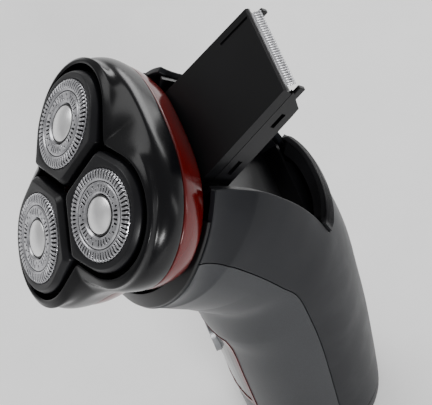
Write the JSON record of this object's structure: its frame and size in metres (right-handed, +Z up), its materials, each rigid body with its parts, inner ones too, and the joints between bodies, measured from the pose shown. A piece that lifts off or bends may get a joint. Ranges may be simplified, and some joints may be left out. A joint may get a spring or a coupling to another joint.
{
  "type": "rotary electric shaver",
  "caption": "Cordless rotary electric shaver: floating round cutting discs on an angled head, slim curved handle and a pop-up trimmer on the back, opened.",
  "frame": {"origin": "centre of the flat base", "axes": "+Z up along the handle, -Y the front with the power button, +Y the back with the trimmer, +X to the shaver's side"},
  "size_m": [0.0694, 0.0875, 0.165],
  "materials": {
    "gloss_black": "high gloss",
    "satin_black": "satin",
    "black_plastic": "matt",
    "soft_touch": "soft touch",
    "silver_grey": "fine metallic lacquer",
    "steel": "ground and polished",
    "red_lacquer": "clear lacquer over deep red",
    "red_plastic": "satin",
    "gear_plastic": "satin, greased",
    "brass": "machined",
    "motor_can": "zinc plated",
    "white_plastic": "satin",
    "glass_filled": "matt, fibre filled",
    "gloss_panel": "high gloss",
    "grey_button": "satin metallic",
    "clear_lens": "frosted",
    "battery_wrap": "shrink wrap",
    "nickel": "plated",
    "board": "solder mask",
    "trimmer_black": "satin to gloss",
    "trimmer_grey": "matt",
    "slider_grey": "matt, ridged"
  },
  "bodies": {
    "handle": {"red_ring": "red_lacquer", "hair_chamber": "black_plastic", "gear_plate": "glass_filled", "motor": "motor_can", "motor_end_cap": "white_plastic", "motor_clamp": "black_plastic", "neck": "black_plastic", "neck_collar": "black_plastic", "gear_screws": "steel", "back_shell": "soft_touch", "front_shell": "silver_grey", "button_panel": "gloss_panel", "red_accent": "red_lacquer", "charge_lens": "clear_lens", "base_cap": "black_plastic", "charging_socket": "black_plastic", "socket_pin": "brass", "battery": "battery_wrap", "battery_tabs": "nickel", "main_board": "board", "button_switch": "white_plastic", "chassis": "black_plastic", "trimmer_bay": "black_plastic", "trimmer_pin": "steel", "trimmer_spring": "steel"},
    "head": {"head_frame": "gloss_black", "blade_retainer": "black_plastic"},
    "lock": {"retainer_lock": "red_plastic"},
    "rotor": {"motor_shaft": "steel", "motor_pinion": "brass"},
    "sun": {"centre_gear": "gear_plastic"},
    "trimmer": {"trimmer_cover": "trimmer_black", "trimmer_base": "trimmer_grey", "trimmer_comb": "steel"},
    "trimmer_knife": {"trimmer_blade": "steel"},
    "slider": {"trimmer_slider": "slider_grey"},
    "button": {"power_button": "grey_button"},
    "plate_a": {"plate_a": "satin_black", "guard_a": "steel", "cap_a": "steel"},
    "cutter_a": {"cutter_a": "steel"},
    "spindle_a": {"spindle_a": "steel", "spindle_gear_a": "gear_plastic"},
    "plate_b": {"plate_b": "satin_black", "guard_b": "steel", "cap_b": "steel"},
    "cutter_b": {"cutter_b": "steel"},
    "spindle_b": {"spindle_b": "steel", "spindle_gear_b": "gear_plastic"},
    "plate_c": {"plate_c": "satin_black", "guard_c": "steel", "cap_c": "steel"},
    "cutter_c": {"cutter_c": "steel"},
    "spindle_c": {"spindle_c": "steel", "spindle_gear_c": "gear_plastic"}
  },
  "joints": [
    {"name": "head_release", "type": "slide", "parent": "handle", "child": "head", "axis": [0, -0.766, 0.6428], "range_m": [0, 0.04]},
    {"name": "lock_turn", "type": "hinge", "parent": "head", "child": "lock", "pos_m": [0, -0.03404, 0.13164], "axis": [0, -0.766, 0.6428], "range_deg": [0, 60]},
    {"name": "motor_spin", "type": "hinge", "parent": "handle", "child": "rotor", "pos_m": [0, -0.03359, 0.11351], "axis": [0, -0.766, 0.6428], "continuous": true},
    {"name": "centre_spin", "type": "hinge", "parent": "handle", "child": "sun", "pos_m": [0, -0.02868, 0.12714], "axis": [0, -0.766, 0.6428], "continuous": true},
    {"name": "plate_a_tilt", "type": "hinge", "parent": "head", "child": "plate_a", "pos_m": [-0.01525, -0.03424, 0.1433], "axis": [-0.5, -0.5567, -0.6634], "range_deg": [-3, 3], "stiffness_Nm_per_rad": 0.05},
    {"name": "cutter_a_spin", "type": "hinge", "parent": "plate_a", "child": "cutter_a", "pos_m": [-0.01525, -0.03424, 0.1433], "axis": [-0.11, -0.719, 0.6862], "continuous": true},
    {"name": "spindle_a_spin", "type": "hinge", "parent": "handle", "child": "spindle_a", "pos_m": [-0.01524, -0.02302, 0.13389], "axis": [0, -0.766, 0.6428], "continuous": true},
    {"name": "plate_b_tilt", "type": "hinge", "parent": "head", "child": "plate_b", "pos_m": [0.01525, -0.03424, 0.1433], "axis": [-0.5, 0.5567, 0.6634], "range_deg": [-3, 3], "stiffness_Nm_per_rad": 0.05},
    {"name": "cutter_b_spin", "type": "hinge", "parent": "plate_b", "child": "cutter_b", "pos_m": [0.01525, -0.03424, 0.1433], "axis": [0.11, -0.719, 0.6862], "continuous": true},
    {"name": "spindle_b_spin", "type": "hinge", "parent": "handle", "child": "spindle_b", "pos_m": [0.01524, -0.02302, 0.13389], "axis": [0, -0.766, 0.6428], "continuous": true},
    {"name": "plate_c_tilt", "type": "hinge", "parent": "head", "child": "plate_c", "pos_m": [0, -0.05122, 0.12306], "axis": [1, 0, 0], "range_deg": [-3, 3], "stiffness_Nm_per_rad": 0.05},
    {"name": "cutter_c_spin", "type": "hinge", "parent": "plate_c", "child": "cutter_c", "pos_m": [0, -0.05122, 0.12306], "axis": [0, -0.8415, 0.5402], "continuous": true},
    {"name": "spindle_c_spin", "type": "hinge", "parent": "handle", "child": "spindle_c", "pos_m": [0, -0.03999, 0.11366], "axis": [0, -0.766, 0.6428], "continuous": true},
    {"name": "trimmer_fold", "type": "hinge", "parent": "handle", "child": "trimmer", "pos_m": [0, -0.01151, 0.13702], "axis": [1, 0, 0], "range_deg": [-91, 0], "stiffness_Nm_per_rad": 0.02, "springref_deg": 17.19},
    {"name": "trimmer_cut", "type": "slide", "parent": "trimmer", "child": "trimmer_knife", "axis": [1, 0, 0], "range_m": [-0.001, 0.001]},
    {"name": "slider_push", "type": "slide", "parent": "handle", "child": "slider", "axis": [0, -0.181, 0.9835], "range_m": [0, 0.0024], "stiffness_N_per_m": 400},
    {"name": "button_press", "type": "slide", "parent": "handle", "child": "button", "axis": [0, 1, 0], "range_m": [0, 0.0008], "stiffness_N_per_m": 1500}
  ],
  "couplings": [
    {"joint": "centre_spin", "follows": "motor_spin", "ratio": -0.54546},
    {"joint": "spindle_a_spin", "follows": "motor_spin", "ratio": 0.54546},
    {"joint": "cutter_a_spin", "follows": "motor_spin", "ratio": 0.54546},
    {"joint": "spindle_b_spin", "follows": "motor_spin", "ratio": 0.54546},
    {"joint": "cutter_b_spin", "follows": "motor_spin", "ratio": 0.54546},
    {"joint": "spindle_c_spin", "follows": "motor_spin", "ratio": 0.54546},
    {"joint": "cutter_c_spin", "follows": "motor_spin", "ratio": 0.54546}
  ]
}
